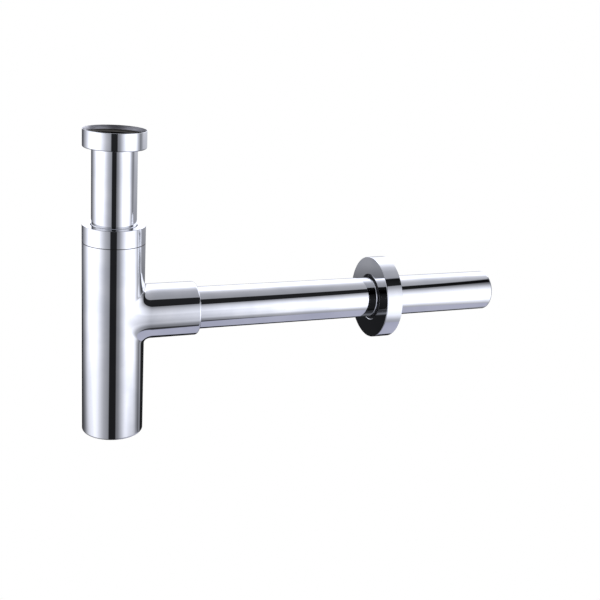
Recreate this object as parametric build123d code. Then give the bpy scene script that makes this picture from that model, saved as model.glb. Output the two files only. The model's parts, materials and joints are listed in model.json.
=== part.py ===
"""Round bottle trap for a washbasin, in millimetres.

Z runs up the axis of the trap body, and the outlet runs along +X.
The origin is at the mouth of the union nut's thread, on the body's axis.
"""

import os

from build123d import *

# Tubes
tube_od = 32.0
tube_wall = 1.0
tube_end_round = 2.0  # the outlet tube's free end is drawn in a little
tube_end_face = 0.4  # flat left at that end, inside the round
tube_inner_chamfer = 0.4

# Union nut at the inlet, with a 1 1/4 inch parallel pipe thread
thread_r = 20.955  # root of the thread in the nut
thread_length = 5.7
mouth_chamfer = 0.6
nut_wall = 1.3
nut_shoulder = 2.6  # the nut's floor, under the inlet tube's turned-out end
nut_top_round = 0.35
nut_bottom_round = 1.0
relief_depth = 0.25  # thread run-out below the thread
tube_flange_width = 3.4  # the inlet tube's turned-out end
tube_flange_thickness = 1.2
inlet_washer_thickness = 2.0
inlet_washer_inset = 0.45  # washer's edge inside the thread's root
inlet_washer_lap = 0.5  # washer's hole inside the tube's bore

# Upright run
tube_exposed = 54.6  # from the nut's underside to the cap's top
outlet_below_cap = 53.4  # from the seam under the cap to the outlet's axis
body_below_outlet = 91.9  # from the outlet's axis to the underside of the body
dip_below_outlet = 56.5  # from the outlet's axis to the inlet tube's lower end

# Cap and what it clamps
cap_height = 12.7
cap_plate = 2.5
cap_wall = 1.6
cap_top_round = 1.0
cap_bevel = 0.3  # round the tube's hole
seam_gap = 0.3
seam_round = 0.25
slip_washer_thickness = 1.3
seal_stand = 0.8  # the seal's head above the neck
seal_head = 2.9  # the seal's radial thickness at the neck's top
seal_foot = 0.6  # and at its lower end
neck_rim = 1.2  # the neck's wall at its top
seat_floor = 2.0  # the lower end of the seal's seat, above the seam

# Body
body_wall = 1.5
body_floor = 2.0
body_bottom_round = 1.5
chamber_bottom_round = 2.0
shoulder_depth = 4.0  # metal under the seam, round the tube

# Side branch and the rings in it
branch_end = 61.5  # from the body's axis
branch_wall = 1.4  # outside the ring grooves
branch_fillet = 4.0
branch_end_round = 2.2
socket_depth = 31.5
socket_lead_in = 0.8
passage_step = 1.5  # the stop at the socket's end, inside the tube's outside
ring_section = 2.6
ring_spacing = 10.0
ring_from_mouth = 11.0
groove_side_clearance = 0.3

# Outlet tube and wall flange
outlet_reach = 318.3  # from the body's axis to the tube's free end
flange_front = 209.3  # from the body's axis
flange_od = 65.2
flange_depth = 13.4
flange_wall = 1.2
flange_edge_round = 0.5
flange_hole_gap = 2.0  # round the tube
flange_hole_round = 0.7
grip_width = 5.0
grip_thickness = 6.0
grip_round = 0.8

# Fits
guide_clearance = 0.5  # metal round a sliding tube
seal_clearance = 0.2  # rubber round a sliding tube
socket_clearance = 0.2  # the branch's socket round the outlet tube
cone_clearance = 0.25  # the seal in its seat
thread_clearance = 0.3  # the cap's thread root outside the neck
stack_clearance = 0.2  # between faces that turn on each other
washer_edge_clearance = 0.4
ring_seat_clearance = 0.03

# Radii worked out from the tube outwards
tube_r = tube_od / 2
tube_bore_r = tube_r - tube_wall
guide_r = tube_r + guide_clearance
seal_bore_r = tube_r + seal_clearance
seal_head_r = seal_bore_r + seal_head
seal_foot_r = seal_bore_r + seal_foot
neck_r = seal_head_r + cone_clearance + neck_rim
cap_bore_r = neck_r + thread_clearance
cap_r = cap_bore_r + cap_wall
body_r = cap_r
chamber_r = body_r - body_wall
nut_r = thread_r + nut_wall
relief_r = thread_r + relief_depth
socket_r = tube_r + socket_clearance
groove_r = seal_bore_r + ring_section + ring_seat_clearance
branch_r = groove_r + branch_wall
passage_r = tube_r - passage_step
flange_r = flange_od / 2

# Heights worked out from the nut downwards
nut_top_z = mouth_chamfer
washer_top_z = -thread_length - stack_clearance
tube_top_z = washer_top_z - inlet_washer_thickness
tube_flange_z = tube_top_z - tube_flange_thickness
shoulder_z = tube_flange_z - stack_clearance
nut_bottom_z = shoulder_z - nut_shoulder
cap_top_z = nut_bottom_z - tube_exposed
cap_bottom_z = cap_top_z - cap_height
seam_z = cap_bottom_z - seam_gap
plate_z = cap_top_z - cap_plate
slip_top_z = plate_z - stack_clearance
slip_bottom_z = slip_top_z - slip_washer_thickness
seal_top_z = slip_bottom_z - stack_clearance
neck_top_z = seal_top_z - seal_stand
seat_floor_z = seam_z + seat_floor
seal_bottom_z = seat_floor_z + stack_clearance
outlet_z = seam_z - outlet_below_cap
body_bottom_z = outlet_z - body_below_outlet
dip_z = outlet_z - dip_below_outlet
chamber_floor_z = body_bottom_z + body_floor
chamber_top_z = seam_z - shoulder_depth

# Places along the outlet
socket_stop_x = branch_end - socket_depth
outlet_start_x = socket_stop_x + stack_clearance
outer_ring_x = branch_end - ring_from_mouth
inner_ring_x = outer_ring_x - ring_spacing
flange_back = flange_front + flange_depth


def turned(outline, rounds=()):
    """Turn a closed outline of (radius, height) points about Z, with (corner, radius) rounds."""
    profile = make_face(Polyline(*outline, close=True))
    for corner, radius in rounds:
        nearest = profile.vertices().sort_by_distance((*corner, 0))[0]
        profile = fillet(nearest, radius)
    return revolve(Plane.XZ * profile, axis=Axis.Z)


def along_outlet(piece):
    """Lay a piece made about Z along the outlet's axis; its heights become places along it."""
    return Location((0, 0, outlet_z), (0, 90, 0)) * piece


def inlet_nut():
    """Thin-walled nut, open at the top, with a floor that draws up the tube's turned-out end."""
    mouth_r = thread_r + mouth_chamfer
    top, bottom = (nut_r, nut_top_z), (nut_r, nut_bottom_z)
    outline = [
        (guide_r, nut_bottom_z),
        bottom,
        top,
        (mouth_r, nut_top_z),
        (thread_r, 0),
        (thread_r, -thread_length),
        (relief_r, -thread_length),
        (relief_r, shoulder_z),
        (guide_r, shoulder_z),
    ]
    return turned(outline, [(top, nut_top_round), (bottom, nut_bottom_round)])


def inlet_washer():
    """Flat washer on the tube's turned-out end."""
    bore_r = tube_bore_r - inlet_washer_lap
    edge_r = thread_r - inlet_washer_inset
    outline = [
        (bore_r, tube_top_z),
        (edge_r, tube_top_z),
        (edge_r, washer_top_z),
        (bore_r, washer_top_z),
    ]
    return turned(outline)


def inlet_tube():
    """Straight tube, turned out at the top and open at the dip."""
    lip_r = tube_r + tube_flange_width
    corner = (tube_r, tube_flange_z)
    outline = [
        (tube_bore_r, dip_z + tube_inner_chamfer),
        (tube_bore_r + tube_inner_chamfer, dip_z),
        (tube_r, dip_z),
        corner,
        (lip_r, tube_flange_z),
        (lip_r, tube_top_z),
        (tube_bore_r, tube_top_z),
    ]
    return turned(outline, [(corner, guide_clearance / 2)])


def cap():
    """Collar that screws over the neck, flush with the body, with a hole for the tube."""
    top, bottom = (cap_r, cap_top_z), (cap_r, cap_bottom_z)
    outline = [
        (cap_bore_r, cap_bottom_z),
        bottom,
        top,
        (guide_r + cap_bevel, cap_top_z),
        (guide_r, cap_top_z - cap_bevel),
        (guide_r, plate_z),
        (cap_bore_r, plate_z),
    ]
    return turned(outline, [(top, cap_top_round), (bottom, seam_round)])


def slip_washer():
    """Thin ring under the cap's plate."""
    edge_r = cap_bore_r - washer_edge_clearance
    outline = [
        (guide_r, slip_bottom_z),
        (edge_r, slip_bottom_z),
        (edge_r, slip_top_z),
        (guide_r, slip_top_z),
    ]
    return turned(outline)


def cone_seal():
    """Tapered seal round the inlet tube, in the neck's conical seat."""
    outline = [
        (seal_bore_r, seal_bottom_z),
        (seal_foot_r, seal_bottom_z),
        (seal_head_r, neck_top_z),
        (seal_head_r, seal_top_z),
        (seal_bore_r, seal_top_z),
    ]
    return turned(outline)


def trap_body():
    """Cylinder with a rounded base, a neck for the cap and a side branch run into it with a fillet."""
    base, shoulder = (body_r, body_bottom_z), (body_r, seam_z)
    outside = turned(
        [
            (0, body_bottom_z),
            base,
            shoulder,
            (neck_r, seam_z),
            (neck_r, neck_top_z),
            (0, neck_top_z),
        ],
        [(base, body_bottom_round), (shoulder, seam_round)],
    )
    branch_mouth = (branch_r, branch_end)
    branch = along_outlet(
        turned([(0, 0), (branch_r, 0), branch_mouth, (0, branch_end)], [(branch_mouth, branch_end_round)])
    )
    tee = outside + branch
    root_reach = body_r + branch_fillet
    root = tee.edges().filter_by(lambda edge: edge.geom_type not in (GeomType.CIRCLE, GeomType.LINE))
    root = root.filter_by(lambda edge: abs(edge.center().X) < root_reach)
    tee = fillet(root, branch_fillet)
    return tee - chamber() - branch_bore()


def chamber():
    """Room inside the body, up through the tube's guide and the seal's conical seat."""
    floor = (chamber_r, chamber_floor_z)
    seat_top_r = seal_head_r + cone_clearance
    seat_foot_r = seal_foot_r + cone_clearance
    return turned(
        [
            (0, chamber_floor_z),
            floor,
            (chamber_r, chamber_top_z),
            (guide_r, chamber_top_z),
            (guide_r, seat_floor_z),
            (seat_foot_r, seat_floor_z),
            (seat_top_r, neck_top_z),
            (0, neck_top_z),
        ],
        [(floor, chamber_bottom_round)],
    )


def branch_bore():
    """Waterway from the chamber to the socket, with the socket's two ring grooves and its lead-in."""
    half_groove = ring_section / 2 + groove_side_clearance
    outline = [
        (0, 0),
        (passage_r, 0),
        (passage_r, socket_stop_x),
        (socket_r, socket_stop_x),
    ]
    for ring_x in (inner_ring_x, outer_ring_x):
        outline += [
            (socket_r, ring_x - half_groove),
            (groove_r, ring_x - half_groove),
            (groove_r, ring_x + half_groove),
            (socket_r, ring_x + half_groove),
        ]
    outline += [
        (socket_r, branch_end - socket_lead_in),
        (socket_r + socket_lead_in, branch_end),
        (0, branch_end),
    ]
    return along_outlet(turned(outline))


def outlet_ring(ring_x):
    """Round-section ring in one of the socket's grooves."""
    section_r = ring_section / 2
    ring = Pos(0, 0, ring_x) * Torus(seal_bore_r + section_r, section_r)
    return along_outlet(ring)


def outlet_tube():
    """Straight tube from the socket's stop to the wall, its free end drawn in for pushing into a pipe."""
    inner_round = tube_end_round - tube_wall
    drawn_r = tube_r - tube_end_round - tube_end_face
    nose, inner_nose = (tube_r, outlet_reach), (tube_bore_r, outlet_reach - tube_wall)
    outline = [
        (tube_bore_r + tube_inner_chamfer, outlet_start_x),
        (tube_r, outlet_start_x),
        nose,
        (drawn_r, outlet_reach),
        (drawn_r, outlet_reach - tube_wall),
        inner_nose,
        (tube_bore_r, outlet_start_x + tube_inner_chamfer),
    ]
    return along_outlet(turned(outline, [(nose, tube_end_round), (inner_nose, inner_round)]))


def wall_flange():
    """Drawn cover: a flat front with a hole round the tube, and a deep rim open to the wall."""
    hole_r = tube_r + flange_hole_gap
    inside_r = flange_r - flange_wall
    plate_back = flange_front + flange_wall
    edge, hole_edge = (flange_r, flange_front), (hole_r, flange_front)
    outline = [
        hole_edge,
        edge,
        (flange_r, flange_back),
        (inside_r, flange_back),
        (inside_r, plate_back),
        (hole_r, plate_back),
    ]
    return along_outlet(turned(outline, [(edge, flange_edge_round), (hole_edge, flange_hole_round)]))


def flange_grip():
    """Rubber ring behind the flange's front that centres it on the tube."""
    front = flange_front + flange_wall
    back = front + grip_thickness
    edge_r = seal_bore_r + grip_width
    rear = (edge_r, back)
    outline = [(seal_bore_r, front), (edge_r, front), rear, (seal_bore_r, back)]
    return along_outlet(turned(outline, [(rear, grip_round)]))


pieces = {
    "inlet_nut": inlet_nut(),
    "inlet_washer": inlet_washer(),
    "inlet_tube": inlet_tube(),
    "cap": cap(),
    "slip_washer": slip_washer(),
    "cone_seal": cone_seal(),
    "trap_body": trap_body(),
    "outlet_ring_inner": outlet_ring(inner_ring_x),
    "outlet_ring_outer": outlet_ring(outer_ring_x),
    "outlet_tube": outlet_tube(),
    "wall_flange": wall_flange(),
    "flange_grip": flange_grip(),
}

os.makedirs("parts", exist_ok=True)
for node, piece in pieces.items():
    export_step(piece, f"parts/{node}.step")
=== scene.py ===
import json
import math

import bmesh
import bpy
from mathutils import Matrix, Vector


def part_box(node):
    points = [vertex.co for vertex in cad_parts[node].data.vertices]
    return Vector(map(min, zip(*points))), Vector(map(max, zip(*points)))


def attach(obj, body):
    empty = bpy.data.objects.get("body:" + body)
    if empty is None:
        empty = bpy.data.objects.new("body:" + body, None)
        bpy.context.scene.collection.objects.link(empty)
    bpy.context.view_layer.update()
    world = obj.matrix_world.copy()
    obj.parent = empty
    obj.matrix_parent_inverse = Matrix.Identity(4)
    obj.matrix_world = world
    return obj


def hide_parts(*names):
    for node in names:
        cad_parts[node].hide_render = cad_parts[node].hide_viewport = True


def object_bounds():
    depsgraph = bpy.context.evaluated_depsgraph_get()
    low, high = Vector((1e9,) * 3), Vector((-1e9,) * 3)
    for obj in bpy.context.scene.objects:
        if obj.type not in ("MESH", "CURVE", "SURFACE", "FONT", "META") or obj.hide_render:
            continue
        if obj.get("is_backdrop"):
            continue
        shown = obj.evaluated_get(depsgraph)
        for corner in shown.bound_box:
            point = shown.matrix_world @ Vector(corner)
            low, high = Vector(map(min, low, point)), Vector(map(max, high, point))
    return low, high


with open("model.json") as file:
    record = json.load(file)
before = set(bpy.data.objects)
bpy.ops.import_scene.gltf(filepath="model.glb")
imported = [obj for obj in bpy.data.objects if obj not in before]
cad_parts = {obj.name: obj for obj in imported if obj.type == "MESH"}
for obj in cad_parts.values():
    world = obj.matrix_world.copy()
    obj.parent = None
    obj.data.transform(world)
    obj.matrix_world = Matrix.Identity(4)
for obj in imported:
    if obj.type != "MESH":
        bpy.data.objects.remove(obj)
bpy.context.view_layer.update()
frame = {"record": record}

mm = 0.001  # in Blender's metres; sizes and places are in mm where no note says otherwise
turnSteps = 128  # facets round every turned piece
roundSteps = 6  # facets across a rounded edge
ringSteps = 24  # facets round a rubber ring's section
guard = 0.12  # mm, a narrow band beside each rounded edge that keeps the wall next to it straight
weld = 0.002  # mm, points nearer than this become one
slack = 0.1  # mm, leeway when points and faces are picked by their place
ridgeSink = 0.05  # mm, how deep the foot of a thread's ridge lies in its wall
sharpAngle = math.radians(32)


def heights(node):
    low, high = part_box(node)
    return low.z / mm, high.z / mm


def reaches(node):
    low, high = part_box(node)
    return low.x / mm, high.x / mm


def widest(node):
    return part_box(node)[1].y / mm


# the outlet's axis, and the tube that both runs are made of
tubeR = widest("outlet_tube")
outletZ = sum(heights("outlet_tube")) / 2
layAlongOutlet = Matrix.Translation((0, 0, outletZ * mm)) @ Matrix.Rotation(math.radians(90), 4, "Y")


# colours and nodes

def linear(hexColour):
    channels = [int(hexColour[i:i + 2], 16) / 255 for i in (1, 3, 5)]
    return [c / 12.92 if c <= 0.04045 else ((c + 0.055) / 1.055) ** 2.4 for c in channels] + [1.0]


def addNode(tree, kind, settings=None, sockets=None, links=None, stops=None):
    node = tree.nodes.new(kind)
    for name, value in (settings or {}).items():
        setattr(node, name, value)
    for name, value in (sockets or {}).items():
        node.inputs[name].default_value = value
    for name, source in (links or {}).items():
        tree.links.new(source, node.inputs[name])
    if stops:
        elements = node.color_ramp.elements
        while len(elements) < len(stops):
            elements.new(1.0)
        for element, (place, colour) in zip(elements, stops):
            element.position, element.color = place, colour
    return node


def newMaterial(name):
    material = bpy.data.materials.new(name)
    material.use_nodes = True
    material.node_tree.nodes.clear()
    return material, material.node_tree


# materials

chromeLook = {
    "bright": "#F2F3F5",
    "deep": "#E4E6EA",
    "cloud": 26.0,  # mm, size of the faint clouds that hand polishing leaves
    "cloudEdges": (0.35, 0.6),  # where in the clouds' range the colour turns
    "polish": 0.9,  # mm between buffing lines, drawn coarser than real so that they show at all
    "roughLow": 0.018,
    "roughHigh": 0.045,
    "bumpDepth": 0.0006,  # mm
}
# the nut's lip is plated as it was machined, without buffing, and looks satin; threads are dull brass, made
# darker as painted shade, which also goes where gaps and seams lie in shadow
lipLook = dict(chromeLook, bright="#D8D8DC", deep="#CCCCD2", roughLow=0.36, roughHigh=0.44, bumpDepth=0.002)
threadPaintedShadeLook = dict(chromeLook, bright="#7E7B75", deep="#686560", roughLow=0.4, roughHigh=0.55, bumpDepth=0.003)


def chromedBrass(name, look):
    material, tree = newMaterial(name)
    low, high = look["cloudEdges"]
    place = addNode(tree, "ShaderNodeTexCoord")
    clouds = addNode(tree, "ShaderNodeTexNoise", {}, {"Scale": 1 / (look["cloud"] * mm), "Detail": 3.0},
                     {"Vector": place.outputs["Object"]})
    buff = addNode(tree, "ShaderNodeTexNoise", {}, {"Scale": 1 / (look["polish"] * mm), "Detail": 2.0},
                   {"Vector": place.outputs["Object"]})
    tone = addNode(tree, "ShaderNodeValToRGB", {}, {}, {"Fac": clouds.outputs["Fac"]},
                   [(low, linear(look["deep"])), (high, linear(look["bright"]))])
    rough = addNode(tree, "ShaderNodeMapRange", {},
                    {"From Min": 0.3, "From Max": 0.7,
                     "To Min": look["roughLow"], "To Max": look["roughHigh"]},
                    {"Value": clouds.outputs["Fac"]})
    bump = addNode(tree, "ShaderNodeBump", {}, {"Strength": 1.0, "Distance": look["bumpDepth"] * mm},
                   {"Height": buff.outputs["Fac"]})
    shader = addNode(tree, "ShaderNodeBsdfPrincipled", {}, {"Metallic": 1.0},
                     {"Base Color": tone.outputs["Color"], "Roughness": rough.outputs["Result"],
                      "Normal": bump.outputs["Normal"]})
    addNode(tree, "ShaderNodeOutputMaterial", {}, {}, {"Surface": shader.outputs["BSDF"]})
    return material


rubberLook = {
    "dark": "#18181A",
    "bloom": "#2A2A2C",
    "cloud": 5.0,  # mm
    "cloudEdges": (0.35, 0.7),
    "grain": 0.35,  # mm, the mould's fine texture
    "grainDepth": 0.02,  # mm
    "grainShare": 0.6,  # of the bump's full strength
    "roughLow": 0.55,
    "roughHigh": 0.8,
    "ior": 1.52,
}


def rubberMoulded(look):
    # black moulded rubber: matt, slightly greyed in patches, fine grain from the mould
    material, tree = newMaterial("blackRubberMoulded")
    low, high = look["cloudEdges"]
    place = addNode(tree, "ShaderNodeTexCoord")
    clouds = addNode(tree, "ShaderNodeTexNoise", {}, {"Scale": 1 / (look["cloud"] * mm), "Detail": 4.0},
                     {"Vector": place.outputs["Object"]})
    grain = addNode(tree, "ShaderNodeTexNoise", {}, {"Scale": 1 / (look["grain"] * mm), "Detail": 2.0},
                    {"Vector": place.outputs["Object"]})
    tone = addNode(tree, "ShaderNodeValToRGB", {}, {}, {"Fac": clouds.outputs["Fac"]},
                   [(low, linear(look["dark"])), (high, linear(look["bloom"]))])
    rough = addNode(tree, "ShaderNodeMapRange", {}, {"To Min": look["roughLow"], "To Max": look["roughHigh"]},
                    {"Value": clouds.outputs["Fac"]})
    bump = addNode(tree, "ShaderNodeBump", {},
                   {"Strength": look["grainShare"], "Distance": look["grainDepth"] * mm},
                   {"Height": grain.outputs["Fac"]})
    shader = addNode(tree, "ShaderNodeBsdfPrincipled", {}, {"IOR": look["ior"]},
                     {"Base Color": tone.outputs["Color"], "Roughness": rough.outputs["Result"],
                      "Normal": bump.outputs["Normal"]})
    addNode(tree, "ShaderNodeOutputMaterial", {}, {}, {"Surface": shader.outputs["BSDF"]})
    return material


nylonLook = {
    "light": "#EFEDE6",
    "shade": "#E2DFD5",
    "cloud": 6.0,  # mm
    "cloudEdges": (0.35, 0.65),
    "lathe": 0.3,  # mm between the fine rings of its turned faces
    "latheDepth": 0.006,  # mm
    "latheShare": 0.5,  # of the bump's full strength
    "rough": 0.42,
    "ior": 1.53,
    "milk": 0.1,  # share of the light that goes in and comes out again
    "milkDepth": 0.5,  # mm
}
waveStep = math.pi / 10  # between the wave texture's rings when its scale is 1


def nylonTurned(look):
    # natural nylon, turned from rod: warm white, waxy, with fine tool rings
    material, tree = newMaterial("whiteNylonTurned")
    low, high = look["cloudEdges"]
    place = addNode(tree, "ShaderNodeTexCoord")
    clouds = addNode(tree, "ShaderNodeTexNoise", {}, {"Scale": 1 / (look["cloud"] * mm), "Detail": 3.0},
                     {"Vector": place.outputs["Object"]})
    rings = addNode(tree, "ShaderNodeTexWave", {"wave_type": "RINGS", "rings_direction": "Z"},
                    {"Scale": waveStep / (look["lathe"] * mm), "Distortion": 0.3},
                    {"Vector": place.outputs["Object"]})
    tone = addNode(tree, "ShaderNodeValToRGB", {}, {}, {"Fac": clouds.outputs["Fac"]},
                   [(low, linear(look["shade"])), (high, linear(look["light"]))])
    bump = addNode(tree, "ShaderNodeBump", {},
                   {"Strength": look["latheShare"], "Distance": look["latheDepth"] * mm},
                   {"Height": rings.outputs["Fac"]})
    shader = addNode(tree, "ShaderNodeBsdfPrincipled", {},
                     {"IOR": look["ior"], "Roughness": look["rough"],
                      "Subsurface Weight": look["milk"], "Subsurface Scale": look["milkDepth"] * mm},
                     {"Base Color": tone.outputs["Color"], "Normal": bump.outputs["Normal"]})
    addNode(tree, "ShaderNodeOutputMaterial", {}, {}, {"Surface": shader.outputs["BSDF"]})
    return material


# brass, buffed and chrome plated: a cool mirror, a little softer where the buff dwelt
chrome = chromedBrass("chromedBrassPolished", chromeLook)
chromeMachined = chromedBrass("chromedBrassMachined", lipLook)
threadPaintedShade = chromedBrass("brassThreadPaintedShade", threadPaintedShadeLook)
rubber = rubberMoulded(rubberLook)
nylon = nylonTurned(nylonLook)
print("materials made")


# turning

def drawSection(bm, corners, closed=True):
    # corners are (radius, height, round) in mm, in order round the section
    spots = []
    for i, (radius, height, size) in enumerate(corners):
        corner = Vector((radius, 0, height))
        near = []
        if size:
            for other in (corners[i - 1], corners[(i + 1) % len(corners)]):
                way = Vector((other[0], 0, other[1])) - corner
                near.append(corner + way.normalized() * (size + guard))
            spots += [(near[0], 0), (corner, size), (near[1], 0)]
        else:
            spots.append((corner, 0))
    verts = [bm.verts.new(spot * mm) for spot, size in spots]
    pairs = list(zip(verts, verts[1:]))
    if closed:
        pairs.append((verts[-1], verts[0]))
    for pair in pairs:
        bm.edges.new(pair)
    for vert, (spot, size) in zip(verts, spots):
        if size:
            bmesh.ops.bevel(bm, geom=[vert], offset=size * mm, offset_type="OFFSET", affect="VERTICES",
                            segments=roundSteps, profile=0.5, material=-1)


def turn(bm):
    bmesh.ops.spin(bm, geom=bm.verts[:] + bm.edges[:], cent=(0, 0, 0), axis=(0, 0, 1), dvec=(0, 0, 0),
                   angle=2 * math.pi, steps=turnSteps, use_merge=True, use_duplicate=False)
    bmesh.ops.remove_doubles(bm, verts=bm.verts, dist=weld * mm)


ridgeShape = {
    "foot": 0.46,  # half of the ridge's foot, in pitches
    "crest": 0.07,  # half of its crest
    "fade": 0.12,  # turns over which it rises from the wall at each end
}


def addThread(bm, thread):
    # a ridge wound up the wall, faded out at both ends
    ridge = bmesh.new()
    root, crest, pitch, turns = (thread[name] for name in ("root", "crest", "pitch", "turns"))
    half, tip = pitch * ridgeShape["foot"], pitch * ridgeShape["crest"]
    start = thread["bottom"] + half
    section = [(root, -half), (crest, -tip), (crest, tip), (root, half)]
    verts = [ridge.verts.new((r * mm, 0, (start + z) * mm)) for r, z in section]
    edges = [ridge.edges.new(pair) for pair in zip(verts, verts[1:] + verts[:1])]
    perTurn = turnSteps // 2
    steps = int(turns * perTurn)
    bmesh.ops.spin(ridge, geom=verts + edges, cent=(0, 0, 0), axis=(0, 0, 1),
                   dvec=(0, 0, pitch * mm / perTurn), angle=2 * math.pi * steps / perTurn, steps=steps,
                   use_merge=False, use_duplicate=False)
    bmesh.ops.holes_fill(ridge, edges=[e for e in ridge.edges if e.is_boundary], sides=4)
    for vert in ridge.verts:
        radius = vert.co.xy.length / mm
        along = (vert.co.z / mm - start) / pitch
        fade = min(1, max(0, min(along, turns - along) / ridgeShape["fade"]))
        vert.co.xy *= (root + (radius - root) * fade) / radius
    bmesh.ops.recalc_face_normals(ridge, faces=ridge.faces)
    made = bpy.data.meshes.new("threadRidge")
    ridge.to_mesh(made)
    ridge.free()
    bm.from_mesh(made)
    bpy.data.meshes.remove(made)


def newObject(bm, name, material):
    mesh = bpy.data.meshes.new(name)
    bm.to_mesh(mesh)
    bm.free()
    made = bpy.data.objects.new(name, mesh)
    bpy.context.scene.collection.objects.link(made)
    mesh.materials.append(material)
    return made


def finishPiece(bm, name, node, body, material, lay=None):
    for face in bm.faces:
        face.smooth = True
    for edge in bm.edges:
        edge.smooth = edge.calc_face_angle(0) < sharpAngle
    if lay:
        bmesh.ops.transform(bm, matrix=lay, verts=bm.verts)
    piece = newObject(bm, name, material)
    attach(piece, body)
    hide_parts(node)
    print(name, "made:", len(piece.data.polygons), "faces")
    return piece


def coat(piece, material, belongs):
    # give another material to the faces that belong, by their radius and height in mm: a finish, or painted
    # shade
    piece.data.materials.append(material)
    for face in piece.data.polygons:
        if belongs(face.center.xy.length / mm, face.center.z / mm):
            face.material_index = len(piece.data.materials) - 1


def turnedPiece(name, node, body, material, corners, lay=None, thread=None):
    bm = bmesh.new()
    drawSection(bm, corners)
    turn(bm)
    bmesh.ops.recalc_face_normals(bm, faces=bm.faces)
    if thread:
        addThread(bm, thread)
    return finishPiece(bm, name, node, body, material, lay)


def washerSection(bore, outer, bottom, top, edgeRound):
    # a flat ring with all its edges alike
    return [(r, z, edgeRound) for r, z in ((bore, bottom), (outer, bottom), (outer, top), (bore, top))]


# union nut

unionThread = frame["record"]["mounts"][0]["dims"]
nutSizes = {
    "mouthChamfer": 0.6,
    "mouthFlare": 1.05,
    "leadIn": 2.2,  # how far the flared lip reaches down to the thread
    "relief": 0.25,
    "shoulder": 2.6,
    "topRound": 0.15,
    "bottomRound": 1.0,
    "holeGap": 0.5,
    "holeRound": 0.2,
    "threadPitch": 2.309,  # 11 to the inch
    "threadDepth": 1.3,
    "threadShort": 0.95,  # turns left off for the ridge's own height
}


def makeUnionNut(s):
    bottom, top = heights("inlet_nut")
    outer = widest("inlet_nut")
    threadR, threadLength = unionThread["r_mm"], unionThread["length_mm"]
    hole = tubeR + s["holeGap"]
    shoulderZ = bottom + s["shoulder"]
    mouthZ = top - s["mouthChamfer"]
    threadTop, threadFoot = mouthZ - s["leadIn"], mouthZ - threadLength
    corners = [
        (hole, bottom, s["holeRound"]),
        (outer, bottom, s["bottomRound"]),
        (outer, top, s["topRound"]),
        (threadR + s["mouthFlare"], top, 0),
        (threadR, threadTop, 0),
        (threadR, threadFoot, 0),
        (threadR + s["relief"], threadFoot, 0),
        (threadR + s["relief"], shoulderZ, 0),
        (hole, shoulderZ, s["holeRound"]),
    ]
    thread = {
        "root": threadR + ridgeSink,
        "crest": threadR - s["threadDepth"],
        "pitch": s["threadPitch"],
        "bottom": threadFoot,
        "turns": (threadLength - s["leadIn"]) / s["threadPitch"] - s["threadShort"],
    }
    nut = turnedPiece("unionNut", "inlet_nut", "nut", chrome, corners, thread=thread)
    edge = outer - s["topRound"] - slack
    coat(nut, chromeMachined, lambda r, z: r < edge and threadTop < z < top - slack)
    # painted shade: the thread deep in the nut is darkened to stand in for the shadow in its recess
    coat(nut, threadPaintedShade, lambda r, z: r < edge and shoulderZ - slack < z < threadTop)
    return nut


makeUnionNut(nutSizes)


# inlet washer

washerSizes = {"bore": 14.5, "edgeRound": 0.3}


def makeInletWasher(s):
    bottom, top = heights("inlet_washer")
    corners = washerSection(s["bore"], widest("inlet_washer"), bottom, top, s["edgeRound"])
    return turnedPiece("inletWasher", "inlet_washer", "inlet", rubber, corners)


makeInletWasher(washerSizes)


# inlet tube

inletTubeSizes = {
    "wall": 1.0,
    "lip": 1.2,
    "lipRound": 0.3,
    "rootRound": 0.25,
    "dipRound": 0.2,
    "dipChamfer": 0.4,
}


def makeInletTube(s):
    bottom, top = heights("inlet_tube")
    lipR = widest("inlet_tube")
    bore = tubeR - s["wall"]
    corners = [
        (bore, bottom + s["dipChamfer"], 0),
        (bore + s["dipChamfer"], bottom, 0),
        (tubeR, bottom, s["dipRound"]),
        (tubeR, top - s["lip"], s["rootRound"]),
        (lipR, top - s["lip"], s["lipRound"]),
        (lipR, top, s["lipRound"]),
        (bore, top, s["lipRound"]),
    ]
    return turnedPiece("inletTube", "inlet_tube", "inlet", chrome, corners)


makeInletTube(inletTubeSizes)


# cap

capSizes = {
    "wall": 1.6,
    "plate": 2.5,
    "holeGap": 0.5,
    "holeRound": 0.15,
    "bevel": 0.3,
    "topRound": 0.3,
    "boreRound": 0.2,
    "seamRound": 0.1,
    "threadPitch": 1.5,
    "threadDepth": 0.22,
    "threadStart": 0.6,
    "threadTurns": 4.0,
}


def makeCap(s):
    bottom, top = heights("cap")
    outer = widest("cap")
    bore, hole = outer - s["wall"], tubeR + s["holeGap"]
    plateZ = top - s["plate"]
    corners = [
        (bore, bottom, s["boreRound"]),
        (outer, bottom, s["seamRound"]),
        (outer, top, s["topRound"]),
        (hole + s["bevel"], top, 0),
        (hole, top - s["bevel"], 0),
        (hole, plateZ, s["holeRound"]),
        (bore, plateZ, s["boreRound"]),
    ]
    thread = {
        "root": bore + ridgeSink,
        "crest": bore - s["threadDepth"],
        "pitch": s["threadPitch"],
        "bottom": bottom + s["threadStart"],
        "turns": s["threadTurns"],
    }
    clamp = turnedPiece("clampCap", "cap", "cap", chrome, corners, thread=thread)
    seamEdge = bottom + s["seamRound"]
    # painted shade: the seam's round and the inside under the plate are darkened to stand in for shadow in
    # the gap
    coat(clamp, threadPaintedShade, lambda r, z: z < seamEdge or z < plateZ and r < bore + slack)
    return clamp


makeCap(capSizes)


# slip washer and cone seal

slipSizes = {"boreGap": 0.5, "edgeRound": 0.2}
sealSizes = {"boreGap": 0.2, "foot": 0.6, "stand": 0.8, "edgeRound": 0.15}


def makeSlipWasher(s):
    bottom, top = heights("slip_washer")
    corners = washerSection(tubeR + s["boreGap"], widest("slip_washer"), bottom, top, s["edgeRound"])
    return turnedPiece("slipWasher", "slip_washer", "slip", nylon, corners)


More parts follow.
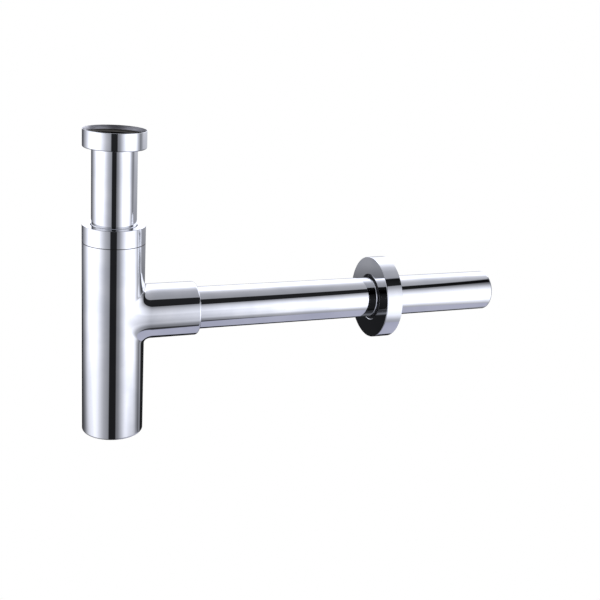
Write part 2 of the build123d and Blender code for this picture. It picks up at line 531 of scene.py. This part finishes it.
def makeConeSeal(s):
    bottom, top = heights("cone_seal")
    outer, bore = widest("cone_seal"), tubeR + s["boreGap"]
    corners = [
        (bore, bottom, 0),
        (bore + s["foot"], bottom, s["edgeRound"]),
        (outer, top - s["stand"], 0),
        (outer, top, s["edgeRound"]),
        (bore, top, s["edgeRound"]),
    ]
    return turnedPiece("coneSeal", "cone_seal", "gland", rubber, corners)


makeSlipWasher(slipSizes)
makeConeSeal(sealSizes)


# trap body

bodySizes = {
    "wall": 1.5,
    "floor": 2.0,
    "baseRound": 1.5,
    "floorRound": 2.0,
    "seamGap": 0.3,
    "seamRound": 0.1,
    "shoulder": 4.0,
    "neckInset": 1.9,
    "neckRim": 1.2,
    "neckRound": 0.2,
    "seatFloor": 2.0,
    "seatFootGap": 1.05,
    "guideGap": 0.5,
    "threadPitch": 1.5,
    "threadDepth": 0.2,
    "threadStart": 0.8,
    "threadTurns": 3.4,
    "branchR": 20.23,
    "branchRound": 1.6,
    "blendOnBody": (2.8, 5.5, 3.4),  # reach of the blend from the corner: above, beside and under the branch
    "blendOnBranch": (2.8, 13.0, 3.8),
    "blendPull": 0.58,  # how far the blend's curve keeps to each wall
    "leadIn": 0.8,
    "socketGap": 0.2,
    "socketDepth": 31.5,
    "passageR": 14.5,
    "grooveR": 18.83,
    "grooveHalf": 1.6,
    "patchHalf": 35.0,  # half the height of the wall's patch round the branch
    "patchRows": 64,
    "patchRings": 12,
    "blendRings": 16,
    "branchRings": 4,
}


def bodySection(s, outer, chamberR, neckR, seam):
    # half of the body by itself, with extra rows where the branch leaves it
    bottom, neckTop = heights("trap_body")
    guideR = tubeR + s["guideGap"]
    seatZ = seam + s["seatFloor"]
    chamberTop, chamberFloor = seam - s["shoulder"], bottom + s["floor"]
    half, rows = s["patchHalf"], s["patchRows"]
    rowHeights = [outletZ - half + 2 * half * i / rows for i in range(rows + 1)]
    return [
        (0, bottom, 0),
        (outer, bottom, s["baseRound"]),
        *[(outer, z, 0) for z in rowHeights],
        (outer, seam, s["seamRound"]),
        (neckR, seam, 0),
        (neckR, neckTop, s["neckRound"]),
        (neckR - s["neckRim"], neckTop, s["neckRound"]),
        (tubeR + s["seatFootGap"], seatZ, 0),
        (guideR, seatZ, 0),
        (guideR, chamberTop, 0),
        (chamberR, chamberTop, 0),
        *[(chamberR, z, 0) for z in reversed(rowHeights)],
        (chamberR, chamberFloor, s["floorRound"]),
        (0, chamberFloor, 0),
    ]


def socketProfile(s, branchEnd):
    # (radius, x) down the inside of the branch, from its end face to the passage
    socketR = tubeR + s["socketGap"]
    stopX = branchEnd - s["socketDepth"]
    profile = [
        (s["branchR"] - s["branchRound"] - guard, branchEnd),
        (socketR + s["leadIn"], branchEnd),
        (socketR, branchEnd - s["leadIn"]),
    ]
    for node in ("outlet_ring_outer", "outlet_ring_inner"):
        ringX = sum(reaches(node)) / 2
        near, far = ringX + s["grooveHalf"], ringX - s["grooveHalf"]
        profile += [(socketR, near), (s["grooveR"], near), (s["grooveR"], far), (socketR, far)]
    return profile + [(socketR, stopX), (s["passageR"], stopX)]


def branchPath(s, outer, chamberR, branchEnd):
    # the rings that the opening's edge is drawn through: each gives a place for a turn round the branch,
    # in mm from where the branch's axis crosses the body's
    half, branchR, passageR = s["patchHalf"], s["branchR"], s["passageR"]

    def onWall(radius, across, up):
        return Vector((radius * math.cos(across), radius * math.sin(across), up))

    def patchEdge(angle):
        # across in radians round the body, up in mm
        side, up = math.sin(angle), math.cos(angle)
        size = max(abs(side), abs(up))
        return side / size * math.pi / 2, up / size * half

    def reach(angle, sizes):
        above, beside, under = sizes
        least = above if math.cos(angle) > 0 else under
        return least + (beside - least) * math.sin(angle) ** 2

    def crossing(angle, pipeR, bodyR):
        # where the plain walls of a pipe and of the body would cross
        y, z = pipeR * math.sin(angle), pipeR * math.cos(angle)
        return Vector((math.sqrt(bodyR ** 2 - y * y), y, z))

    def touchBody(angle):
        meet, out = crossing(angle, branchR, outer), reach(angle, s["blendOnBody"])
        across = math.atan2(meet.y, meet.x) + out * math.sin(angle) / outer
        return onWall(outer, across, meet.z + out * math.cos(angle))

    def touchBranch(angle):
        return crossing(angle, branchR, outer) + Vector((reach(angle, s["blendOnBranch"]), 0, 0))

    def touchChamber(angle):
        return crossing(angle, passageR, chamberR)

    def wallRing(share, radius, meet):
        def place(angle):
            fromAcross, fromUp = patchEdge(angle)
            touch = meet(angle)
            toAcross, toUp = math.atan2(touch.y, touch.x), touch.z
            return onWall(radius, fromAcross + (toAcross - fromAcross) * share,
                          fromUp + (toUp - fromUp) * share)
        return place

    def blendRing(share):
        def place(angle):
            start, end = touchBody(angle), touchBranch(angle)
            across = math.atan2(start.y, start.x)
            inward = -Vector((-math.sin(across) * math.sin(angle), math.cos(across) * math.sin(angle),
                              math.cos(angle)))
            fromBody = start + inward * reach(angle, s["blendOnBody"]) * s["blendPull"]
            fromBranch = end - Vector((reach(angle, s["blendOnBranch"]) * s["blendPull"], 0, 0))
            left = 1 - share
            return (start * left ** 3 + fromBody * 3 * left ** 2 * share
                    + fromBranch * 3 * left * share ** 2 + end * share ** 3)
        return place

    def branchRing(share, endX):
        def place(angle):
            touch = touchBranch(angle)
            return Vector((touch.x + (endX - touch.x) * share, touch.y, touch.z))
        return place

    def roundRing(radius, x):
        return lambda angle: Vector((x, radius * math.sin(angle), radius * math.cos(angle)))

    straightEnd = branchEnd - s["branchRound"]
    innerRings = s["patchRings"] // 2
    rings = [wallRing((i + 1) / s["patchRings"], outer, touchBody) for i in range(s["patchRings"])]
    rings += [blendRing((i + 1) / s["blendRings"]) for i in range(s["blendRings"])]
    rings += [branchRing((i + 1) / s["branchRings"], straightEnd - guard) for i in range(s["branchRings"])]
    for i in range(roundSteps + 1):
        bend = math.pi / 2 * i / roundSteps
        rings.append(roundRing(branchR - s["branchRound"] * (1 - math.cos(bend)),
                               straightEnd + s["branchRound"] * math.sin(bend)))
    rings += [roundRing(radius, x) for radius, x in socketProfile(s, branchEnd)]
    rings.append(touchChamber)
    rings += [wallRing(1 - (i + 1) / innerRings, chamberR, touchChamber) for i in range(innerRings)]
    return rings


def makeTrapBody(s):
    outer, branchEnd = -reaches("trap_body")[0], reaches("trap_body")[1]
    seam = heights("cap")[0] - s["seamGap"]
    chamberR, neckR = outer - s["wall"], outer - s["neckInset"]
    half = s["patchHalf"]
    bm = bmesh.new()
    drawSection(bm, bodySection(s, outer, chamberR, neckR, seam), closed=False)
    turn(bm)

    # open both walls over a quarter turn each side of the branch
    def onPatch(co, radius):
        onRadius = abs(co.xy.length - radius * mm) < slack * mm
        return co.x > 0 and onRadius and abs(co.z - outletZ * mm) < half * mm
    for radius in (outer, chamberR):
        faces = [f for f in bm.faces if onPatch(f.calc_center_median(), radius)]
        bmesh.ops.delete(bm, geom=faces, context="FACES")

    # each point of the opening's edge keeps its turn round the branch
    turnLayer = bm.verts.layers.float.new("branchTurn")
    edges = [e for e in bm.edges if e.is_boundary and e.verts[0].co.xy.length > (outer - slack) * mm]
    for vert in {v for e in edges for v in e.verts}:
        across = math.atan2(vert.co.y, vert.co.x) / (math.pi / 2)
        up = (vert.co.z / mm - outletZ) / half
        vert[turnLayer] = math.atan2(across, up)

    # draw the edge out ring by ring, along the wall, over the blend, along the branch and back inside
    for place in branchPath(s, outer, chamberR, branchEnd):
        drawn = bmesh.ops.extrude_edge_only(bm, edges=edges)["geom"]
        edges = [g for g in drawn if isinstance(g, bmesh.types.BMEdge)]
        for vert in [g for g in drawn if isinstance(g, bmesh.types.BMVert)]:
            vert.co = (place(vert[turnLayer]) + Vector((0, 0, outletZ))) * mm
    bmesh.ops.remove_doubles(bm, verts=bm.verts, dist=weld * mm)
    bmesh.ops.recalc_face_normals(bm, faces=bm.faces)
    addThread(bm, {
        "root": neckR - ridgeSink,
        "crest": neckR + s["threadDepth"],
        "pitch": s["threadPitch"],
        "bottom": seam + s["threadStart"],
        "turns": s["threadTurns"],
    })
    trap = finishPiece(bm, "trapBody", "trap_body", "trap", chrome)
    seamEdge, rimEdge = seam - s["seamRound"], neckR - s["neckRound"] - slack
    # painted shade: the neck under the cap and the seam's round are darkened to stand in for the shadow in
    # the gap
    coat(trap, threadPaintedShade, lambda r, z: z > seamEdge and r > rimEdge)
    return trap


makeTrapBody(bodySizes)


# outlet rings

def makeOutletRing(name, node):
    low, high = reaches(node)
    section = (high - low) / 2
    middle = widest(node) - section
    bm = bmesh.new()
    bmesh.ops.create_circle(bm, segments=ringSteps, radius=section * mm,
                            matrix=Matrix.Translation((middle * mm, 0, (low + high) / 2 * mm))
                            @ Matrix.Rotation(math.radians(90), 4, "X"))
    turn(bm)
    bmesh.ops.recalc_face_normals(bm, faces=bm.faces)
    return finishPiece(bm, name, node, "trap", rubber, layAlongOutlet)


makeOutletRing("ringInner", "outlet_ring_inner")
makeOutletRing("ringOuter", "outlet_ring_outer")


# outlet tube

outletTubeSizes = {
    "wall": 1.0,
    "startRound": 0.2,
    "chamfer": 0.4,
    "endRound": 2.0,
    "endFace": 0.4,
    "lipRound": 0.1,
}


def makeOutletTube(s):
    start, end = reaches("outlet_tube")
    bore = tubeR - s["wall"]
    drawn = tubeR - s["endRound"] - s["endFace"]
    corners = [
        (bore + s["chamfer"], start, 0),
        (tubeR, start, s["startRound"]),
        (tubeR, end, s["endRound"]),
        (drawn, end, s["lipRound"]),
        (drawn, end - s["wall"], s["lipRound"]),
        (bore, end - s["wall"], s["endRound"] - s["wall"]),
        (bore, start + s["chamfer"], 0),
    ]
    return turnedPiece("outletTube", "outlet_tube", "outlet", chrome, corners,
                       layAlongOutlet)


makeOutletTube(outletTubeSizes)


# wall flange and its grip

flangeSizes = {
    "wall": 1.2,
    "edgeRound": 0.5,
    "holeGap": 2.0,
    "holeRound": 0.7,
    "innerRound": 0.5,
    "plateRound": 0.1,
    "backRound": 0.25,
}
gripSizes = {"boreGap": 0.2, "backRound": 0.8, "frontRound": 0.2}


def makeWallFlange(s):
    front, back = reaches("wall_flange")
    outer, hole = widest("wall_flange"), tubeR + s["holeGap"]
    inner, plate = outer - s["wall"], front + s["wall"]
    corners = [
        (hole, front, s["holeRound"]),
        (outer, front, s["edgeRound"]),
        (outer, back, s["backRound"]),
        (inner, back, s["backRound"]),
        (inner, plate, s["innerRound"]),
        (hole, plate, s["plateRound"]),
    ]
    return turnedPiece("wallFlange", "wall_flange", "flange", chrome, corners,
                       layAlongOutlet)


def makeFlangeGrip(s):
    front, back = reaches("flange_grip")
    outer, bore = widest("flange_grip"), tubeR + s["boreGap"]
    corners = [
        (bore, front, s["frontRound"]),
        (outer, front, s["frontRound"]),
        (outer, back, s["backRound"]),
        (bore, back, s["backRound"]),
    ]
    return turnedPiece("flangeGrip", "flange_grip", "flange", rubber, corners, layAlongOutlet)


makeWallFlange(flangeSizes)
makeFlangeGrip(gripSizes)
print("pieces made")


# camera

cameraSet = {
    "place": (-145.15, -659.23, 94.36),  # mm
    "heading": 23.99,  # degrees, from +Y towards +X
    "down": 17.42,
    "roll": 4.0,
    "lens": 57.43,  # mm
    "sensor": 36.0,  # mm
    "sees": (10.0, 20000.0),  # mm, nearest and farthest
}


def makeCamera(s):
    data = bpy.data.cameras.new("camera")
    data.sensor_width, data.lens = s["sensor"], s["lens"]
    data.clip_start, data.clip_end = (distance * mm for distance in s["sees"])
    camera = bpy.data.objects.new("camera", data)
    bpy.context.scene.collection.objects.link(camera)
    camera.matrix_world = (Matrix.Translation(Vector(s["place"]) * mm)
                           @ Matrix.Rotation(math.radians(-s["heading"]), 4, "Z")
                           @ Matrix.Rotation(math.radians(90 - s["down"]), 4, "X")
                           @ Matrix.Rotation(math.radians(s["roll"]), 4, "Z"))
    bpy.context.scene.camera = camera


makeCamera(cameraSet)


# studio

tentSet = {
    "radius": 750.0,  # mm, a round cloth tent that the chrome mirrors
    "facets": (64, 32),  # around and upright
    "slitTurn": 12.4,  # degrees from -Y to the slit that the camera looks through
    "glow": 1.4,  # the brightest cloth, against white
    "strength": 1.19,  # makes up for what the chrome takes
    "tint": (0.983, 1.0, 1.1, 1.0),
    # light on the cloth round the tent, degrees from the slit, to the right positive
    "round": [
        (-145, 0.02), (-140, 0.18), (-133, 0.31), (-125, 0.43), (-117, 0.6), (-110, 0.82), (-104, 1.03),
        (-97, 1.23), (-88, 1.34), (-66, 1.37), (-58, 1.34), (-51, 1.2), (-43, 0.92), (-35, 0.67), (-28, 0.5),
        (-13, 0.31), (-11, 0.017), (9.5, 0.017), (11.5, 0.22), (18, 0.29), (22, 0.425), (26, 0.575),
        (32, 0.82), (42, 1.25), (48, 1.4), (72, 1.4), (82, 1.1), (91, 0.55), (103, 0.2), (106, 0.2),
        (110, 0.36), (117, 0.42),
    ],
    "lean": -0.27,  # the walls lean, so that the pattern round them widens downwards
    # share of that light from the tent's foot (-1) to its top (1)
    "height": [
        (-0.45, 0.69), (-0.36, 0.76), (-0.28, 0.81), (-0.2, 0.85), (-0.14, 0.83), (-0.07, 0.83), (0.02, 0.91),
        (0.07, 0.86), (0.1, 0.82), (0.24, 0.64), (0.37, 0.44), (0.47, 0.25), (0.515, 0.2), (0.525, 0.01),
    ],
    # its fall towards the foot, which starts higher at the right, and low down towards the back at the left
    "foot": [(-1.21, 0.17), (-0.965, 0.29), (-0.865, 0.43), (-0.78, 0.8), (-0.73, 1.0)],
    "footLie": (-0.36, 0.0, 1.0),
    "side": [
        (-0.9, 0.32), (-0.87, 0.43), (-0.84, 0.54), (-0.8, 0.7), (-0.75, 0.82), (-0.7, 0.87), (-0.65, 1.0),
    ],
    "sideLie": (0.3, -0.35, 1.0),
    "fallSpan": 1.4,  # more than any of these falls reaches
    # light at the back of the tent, foot to top, the turn from which it shows, and the edge above which it
    # shows all round
    "back": [
        (-0.305, 0.012), (-0.26, 0.17), (-0.2, 0.24), (-0.16, 0.27), (-0.07, 0.37), (0.02, 0.5), (0.1, 0.65),
        (0.2, 1.0), (0.4, 1.2),
    ],
    "backEdges": [(117, 0), (120, 1)],
    "highLie": (-0.6, 1.2, 1.0),
    "highHeight": 1.02,
    # light on a strip at the left of the back, which the flange's face mirrors, and the turns it lies between
    "strip": [
        (-0.31, 0.012), (-0.3, 0.09), (-0.285, 0.12), (-0.265, 0.19), (-0.2475, 0.27), (-0.2, 0.28),
        (-0.1, 0.15), (1.0, 0.14),
    ],
    "stripEdges": [(-157.5, 0), (-156, 1), (-150.1, 1), (-149.3, 0)],
    # light on the roof, front to back, and the edge above which it shows, lower at the sides and the back
    "roof": [
        (-0.6, 0.27), (-0.23, 0.29), (-0.06, 0.33), (0.14, 0.385), (0.32, 0.55), (0.425, 0.79), (0.5, 1.0),
        (0.6, 1.4),
    ],
    "roofLie": (0.35, 0.25, 1.0),
    "roofHeight": 0.893,
    # plain light from the floor, which lies askew, and the dark gap in front of it
    "floorLight": "#A6A6B0",
    "floorLie": (-0.606, -0.165, 1.0),
    "floorDepth": -1.062,
    "gapLie": (-0.322, 0.0, 1.0),
    "gapDepth": -0.938,
    "gapLight": 0.03,
    "edgeBlur": 0.012,
}


def toneStops(stops, span, brightest=1.0):
    # places from -span to span become a ramp's 0 to 1
    return [((place + span) / (2 * span), [light / brightest] * 3 + [1.0]) for place, light in stops]


def clothLight(s):
    material, tree = newMaterial("tentCloth")
    radius, glow, blur, fallSpan = s["radius"] * mm, s["glow"], s["edgeBlur"], s["fallSpan"]
    multiply = {"data_type": "RGBA", "blend_type": "MULTIPLY"}

    # the place on the tent, from its middle and turned to the slit, with the tent's radius as 1
    place = addNode(tree, "ShaderNodeTexCoord")
    shrunk = addNode(tree, "ShaderNodeMapping", {},
                     {"Scale": (1 / radius,) * 3, "Location": (0, 0, -outletZ * mm / radius)},
                     {"Vector": place.outputs["Object"]})
    turned = addNode(tree, "ShaderNodeMapping", {}, {"Rotation": (0, 0, math.radians(s["slitTurn"]))},
                     {"Vector": shrunk.outputs["Vector"]})
    axes = addNode(tree, "ShaderNodeSeparateXYZ", {}, {}, {"Vector": turned.outputs["Vector"]})
    x, y, z = (axes.outputs[n] for n in "XYZ")
    aside = addNode(tree, "ShaderNodeMath", {"operation": "ABSOLUTE"}, {}, {0: x})
    halved = addNode(tree, "ShaderNodeCombineXYZ", {}, {}, {0: aside.outputs[0], 1: y, 2: z})
    front = addNode(tree, "ShaderNodeVectorMath", {"operation": "DOT_PRODUCT"}, {1: (0.0, -1.0, s["lean"])},
                    {0: turned.outputs["Vector"]})
    angle = addNode(tree, "ShaderNodeMath", {"operation": "ARCTAN2"}, {}, {0: x, 1: front.outputs["Value"]})
    share = addNode(tree, "ShaderNodeMapRange", {}, {"From Min": -math.pi, "From Max": math.pi},
                    {"Value": angle.outputs[0]})
    tall = addNode(tree, "ShaderNodeMapRange", {}, {"From Min": -1.0}, {"Value": z})
    deep = addNode(tree, "ShaderNodeMapRange", {}, {"From Min": -1.0}, {"Value": y})

    # light along the turn, the height or the depth, and where the back and the strip show
    tone = {}
    for name, along, span, brightest in (
            ("round", share, 180, glow), ("height", tall, 1, 1.0), ("back", tall, 1, glow),
            ("strip", tall, 1, glow), ("roof", deep, 1, glow),
            ("backEdges", share, 180, 1.0), ("stripEdges", share, 180, 1.0)):
        ramp = addNode(tree, "ShaderNodeValToRGB", {}, {}, {"Fac": along.outputs[0]},
                       toneStops(s[name], span, brightest))
        tone[name] = ramp.outputs[0]

    # parts of the tent past a slanting edge; the floor and the gap lie under theirs
    past = {}
    for name, whole, edge, rise in (
            ("high", halved, s["highHeight"], blur), ("roof", halved, s["roofHeight"], blur),
            ("floor", turned, s["floorDepth"], -blur), ("gap", turned, s["gapDepth"], -blur)):
        level = addNode(tree, "ShaderNodeVectorMath", {"operation": "DOT_PRODUCT"}, {1: s[name + "Lie"]},
                        {0: whole.outputs[0]})
        step = addNode(tree, "ShaderNodeMapRange", {}, {"From Min": edge - rise, "From Max": edge + rise},
                       {"Value": level.outputs["Value"]})
        past[name] = step.outputs[0]
    isBack = addNode(tree, "ShaderNodeMath", {"operation": "MAXIMUM"}, {},
                     {0: tone["backEdges"], 1: past["high"]})

    # the walls first, then what lies over them
    walls = addNode(tree, "ShaderNodeMix", multiply, {0: 1.0}, {6: tone["round"], 7: tone["height"]})
    light = walls.outputs[2]
    for name in ("foot", "side"):
        fall = addNode(tree, "ShaderNodeVectorMath", {"operation": "DOT_PRODUCT"}, {1: s[name + "Lie"]},
                       {0: turned.outputs["Vector"]})
        low = addNode(tree, "ShaderNodeMapRange", {}, {"From Min": -fallSpan, "From Max": fallSpan},
                      {"Value": fall.outputs["Value"]})
        shade = addNode(tree, "ShaderNodeValToRGB", {}, {}, {"Fac": low.outputs[0]},
                        toneStops(s[name], fallSpan))
        layer = addNode(tree, "ShaderNodeMix", multiply, {0: 1.0}, {6: light, 7: shade.outputs[0]})
        light = layer.outputs[2]
    for where, cloth in ((isBack.outputs[0], tone["back"]), (tone["stripEdges"], tone["strip"]),
                         (past["roof"], tone["roof"])):
        layer = addNode(tree, "ShaderNodeMix", {"data_type": "RGBA"}, {}, {0: where, 6: light, 7: cloth})
        light = layer.outputs[2]
    gapTone = [s["gapLight"] / glow] * 3 + [1.0]
    floorTone = [c / glow for c in linear(s["floorLight"])[:3]] + [1.0]
    for where, plain in ((past["gap"], gapTone), (past["floor"], floorTone)):
        layer = addNode(tree, "ShaderNodeMix", {"data_type": "RGBA"}, {7: plain}, {0: where, 6: light})
        light = layer.outputs[2]
    tinted = addNode(tree, "ShaderNodeMix", multiply, {0: 1.0, 7: s["tint"]}, {6: light})
    lamp = addNode(tree, "ShaderNodeEmission", {}, {"Strength": glow * s["strength"]},
                   {"Color": tinted.outputs[2]})
    addNode(tree, "ShaderNodeOutputMaterial", {}, {}, {"Surface": lamp.outputs[0]})
    return material


def makeTent(s):
    bm = bmesh.new()
    around, upright = s["facets"]
    bmesh.ops.create_uvsphere(bm, u_segments=around, v_segments=upright, radius=s["radius"] * mm,
                              matrix=Matrix.Translation((0, 0, outletZ * mm)))
    bmesh.ops.reverse_faces(bm, faces=bm.faces)
    tent = newObject(bm, "tent", clothLight(s))
    tent.visible_camera = False
    tent.visible_shadow = False
    tent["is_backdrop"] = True


floorSet = {
    "drop": 120.0,  # mm below the trap
    "half": 3000.0,  # mm, half its side
    "paper": "#F4F4F4",
}


def whitePaper(s):
    # matt paper that the camera sees as plain white
    material, tree = newMaterial("paperFloor")
    path = addNode(tree, "ShaderNodeLightPath")
    paper = addNode(tree, "ShaderNodeBsdfDiffuse", {}, {"Color": linear(s["paper"])})
    white = addNode(tree, "ShaderNodeEmission", {}, {"Strength": 1.0})
    both = addNode(tree, "ShaderNodeMixShader", {}, {},
                   {0: path.outputs["Is Camera Ray"], 1: paper.outputs[0], 2: white.outputs[0]})
    addNode(tree, "ShaderNodeOutputMaterial", {}, {}, {"Surface": both.outputs[0]})
    return material


def makeFloor(s):
    bm = bmesh.new()
    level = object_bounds()[0].z - s["drop"] * mm
    bmesh.ops.create_grid(bm, x_segments=1, y_segments=1, size=s["half"] * mm,
                          matrix=Matrix.Translation((0, 0, level)))
    floor = newObject(bm, "floor", whitePaper(s))
    floor.visible_glossy = False  # the chrome mirrors the tent's own floor
    floor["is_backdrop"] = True


def makeWorld():
    world = bpy.data.worlds.new("studio")
    world.use_nodes = True
    tree = world.node_tree
    tree.nodes.clear()
    background = addNode(tree, "ShaderNodeBackground", {}, {"Color": (1, 1, 1, 1), "Strength": 1.0})
    addNode(tree, "ShaderNodeOutputWorld", {}, {}, {"Surface": background.outputs[0]})
    bpy.context.scene.world = world


makeTent(tentSet)
makeFloor(floorSet)
makeWorld()
bpy.context.scene.view_settings.view_transform = "Standard"
print("studio made")
